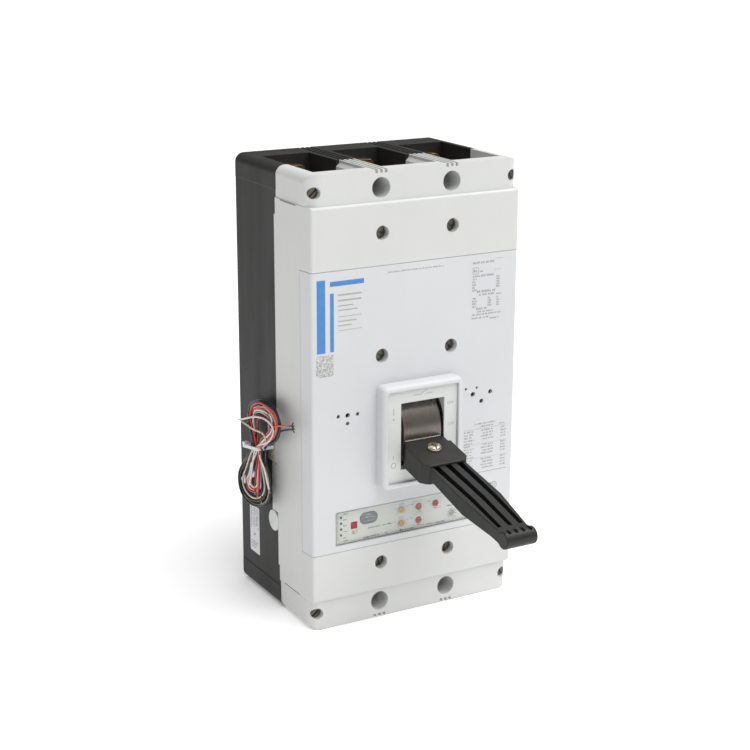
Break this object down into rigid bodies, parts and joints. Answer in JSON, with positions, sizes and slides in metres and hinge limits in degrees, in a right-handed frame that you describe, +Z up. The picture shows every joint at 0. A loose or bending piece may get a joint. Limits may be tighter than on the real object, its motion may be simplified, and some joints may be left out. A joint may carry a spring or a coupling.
{
  "type": "moulded case circuit breaker",
  "caption": "Moulded case circuit breaker with toggle handle and lever extension, electronic trip unit behind a clear flap, and a tied hank of leads at the side.",
  "frame": {"origin": "centre of the four mounting holes, on the back face", "axes": "+X to the right seen from the front, +Y towards the mounting panel, +Z up towards the line end"},
  "size_m": [0.2271, 0.3128, 0.4064],
  "materials": {
    "base_black": "fine moulded texture, near black",
    "cover_white": "light grey-white moulding, fine spark texture",
    "accessory_cover_white": "light grey-white moulding, fine spark texture",
    "inlay_white": null,
    "cover_screw_steel": "zinc plated, dark in its recess",
    "corner_screw_steel": "zinc plated",
    "conductor_bronze": "tin-plated copper, bronze grey",
    "contact_silver": "silver alloy",
    "arm_copper": "bare copper",
    "pin_steel": "ground steel",
    "crossbar_moulding": "brown thermoset",
    "shunt_copper": "braided copper",
    "arc_plate_steel": "plated steel sheet",
    "arc_cheek_fibre": "vulcanised fibre",
    "handle_black": "semi-gloss black",
    "mechanism_steel": "zinc plated sheet",
    "extension_black": "satin black",
    "extension_screw_chrome": "bright plated",
    "spring_steel": "spring wire",
    "trip_unit_black": "black moulding",
    "faceplate_grey": "light grey printed plate",
    "port_smoked": "smoked cover",
    "led_lens": "unlit lens",
    "dial_yellow": "amber",
    "dial_red": "red",
    "dial_grey": "blue grey",
    "button_red": "red",
    "flap_clear": "clear polycarbonate",
    "trip_bar_moulding": "black moulding",
    "actuator_steel": "plated steel can",
    "transformer_core": "taped and potted ring core",
    "auxiliary_black": "black switch body",
    "grommet_cream": "cream moulding",
    "lead_wires": "bundle of insulated leads in several colours",
    "tie_nylon": "natural nylon",
    "seal_white": "white seal disc"
  },
  "bodies": {
    "case": {"base_housing": "base_black", "main_cover": "cover_white", "accessory_cover": "accessory_cover_white", "indicator_plate": "inlay_white", "cover_screws": "cover_screw_steel", "corner_screws": "corner_screw_steel", "line_conductor_a": "conductor_bronze", "line_conductor_b": "conductor_bronze", "line_conductor_c": "conductor_bronze", "load_conductor_a": "conductor_bronze", "load_conductor_b": "conductor_bronze", "load_conductor_c": "conductor_bronze", "fixed_contacts": "contact_silver", "flexible_shunts": "shunt_copper", "arc_chute_plates": "arc_plate_steel", "arc_chute_cheeks": "arc_cheek_fibre", "handle_pivot_pins": "pin_steel", "mechanism_side_plates": "mechanism_steel", "mechanism_stay_rods": "pin_steel", "cradle": "mechanism_steel", "cradle_pin": "pin_steel", "upper_link_pin": "pin_steel", "trip_unit_housing": "trip_unit_black", "trip_unit_faceplate": "faceplate_grey", "test_port_cover": "port_smoked", "status_leds": "led_lens", "trip_actuator": "actuator_steel", "current_transformers": "transformer_core", "auxiliary_switch": "auxiliary_black", "lead_exit_block": "grommet_cream", "lead_hank": "lead_wires", "hank_cable_tie": "tie_nylon", "side_seal": "seal_white"},
    "handle": {"toggle_handle": "handle_black", "handle_yoke": "mechanism_steel", "handle_extension": "extension_black", "extension_screw": "extension_screw_chrome"},
    "contact_bar": {"crossbar": "crossbar_moulding", "contact_arm_a": "arm_copper", "contact_arm_b": "arm_copper", "contact_arm_c": "arm_copper", "moving_contacts": "contact_silver", "contact_arm_pins": "pin_steel", "lower_link_pin": "pin_steel"},
    "upper_links": {"upper_links": "mechanism_steel", "knee_pin": "pin_steel"},
    "lower_link": {"lower_link": "mechanism_steel"},
    "toggle_springs": {"toggle_springs": "spring_steel"},
    "trip_flap": {"trip_window_cover": "flap_clear"},
    "trip_button": {"trip_button": "button_red"},
    "trip_bar": {"trip_bar": "trip_bar_moulding"},
    "plunger": {"actuator_plunger": "pin_steel"},
    "dial_1": {"setting_dial_1": "dial_yellow"},
    "dial_2": {"setting_dial_2": "dial_yellow"},
    "dial_3": {"setting_dial_3": "dial_red"},
    "dial_4": {"setting_dial_4": "dial_red"},
    "dial_5": {"setting_dial_5": "dial_red"},
    "dial_6": {"setting_dial_6": "dial_grey"}
  },
  "joints": [
    {"name": "handle_throw", "type": "hinge", "parent": "case", "child": "handle", "pos_m": [0, -0.1188, -0.0307], "axis": [-1, 0, 0], "range_deg": [0, 40]},
    {"name": "crossbar_turn", "type": "hinge", "parent": "case", "child": "contact_bar", "pos_m": [0, -0.0618, -0.005], "axis": [-1, 0, 0], "range_deg": [0, 35]},
    {"name": "upper_link_swing", "type": "hinge", "parent": "case", "child": "upper_links", "pos_m": [0, -0.0948, -0.062], "axis": [-1, 0, 0], "range_deg": [0, 23.53]},
    {"name": "lower_link_swing", "type": "hinge", "parent": "contact_bar", "child": "lower_link", "pos_m": [0, -0.07933, -0.01483], "axis": [1, 0, 0], "range_deg": [0, 66.75]},
    {"name": "spring_swing", "type": "hinge", "parent": "upper_links", "child": "toggle_springs", "pos_m": [0, -0.10445, -0.03465], "axis": [1, 0, 0], "range_deg": [0, 5.71]},
    {"name": "flap_hinge", "type": "hinge", "parent": "case", "child": "trip_flap", "pos_m": [0, -0.1428, -0.1246], "axis": [1, 0, 0], "range_deg": [0, 100]},
    {"name": "trip_push", "type": "slide", "parent": "case", "child": "trip_button", "axis": [0, 1, 0], "range_m": [0, 0.0025], "stiffness_N_per_m": 400, "springref_m": -0.001},
    {"name": "trip_bar_turn", "type": "hinge", "parent": "case", "child": "trip_bar", "pos_m": [0, -0.0628, -0.126], "axis": [-1, 0, 0], "range_deg": [0, 10.32]},
    {"name": "plunger_slide", "type": "slide", "parent": "case", "child": "plunger", "axis": [0, 1, 0], "range_m": [0, 0.0025]},
    {"name": "dial_1_turn", "type": "hinge", "parent": "case", "child": "dial_1", "pos_m": [-0.0125, -0.1403, -0.105], "axis": [0, 1, 0], "range_deg": [-135, 135]},
    {"name": "dial_2_turn", "type": "hinge", "parent": "case", "child": "dial_2", "pos_m": [-0.0125, -0.1403, -0.1179], "axis": [0, 1, 0], "range_deg": [-135, 135]},
    {"name": "dial_3_turn", "type": "hinge", "parent": "case", "child": "dial_3", "pos_m": [0.0054, -0.1403, -0.105], "axis": [0, 1, 0], "range_deg": [-135, 135]},
    {"name": "dial_4_turn", "type": "hinge", "parent": "case", "child": "dial_4", "pos_m": [0.0054, -0.1403, -0.1179], "axis": [0, 1, 0], "range_deg": [-135, 135]},
    {"name": "dial_5_turn", "type": "hinge", "parent": "case", "child": "dial_5", "pos_m": [0.0231, -0.1403, -0.105], "axis": [0, 1, 0], "range_deg": [-135, 135]},
    {"name": "dial_6_turn", "type": "hinge", "parent": "case", "child": "dial_6", "pos_m": [0.0404, -0.1403, -0.1176], "axis": [0, 1, 0], "range_deg": [-135, 135]}
  ],
  "couplings": [
    {"joint": "crossbar_turn", "follows": "handle_throw", "ratio": 0.875},
    {"joint": "upper_link_swing", "follows": "handle_throw", "ratio": 0.5881},
    {"joint": "lower_link_swing", "follows": "handle_throw", "ratio": 1.6686},
    {"joint": "spring_swing", "follows": "handle_throw", "ratio": 0.1427},
    {"joint": "trip_bar_turn", "follows": "trip_push", "rad_per_m": 72},
    {"joint": "plunger_slide", "follows": "trip_push", "ratio": 1}
  ]
}
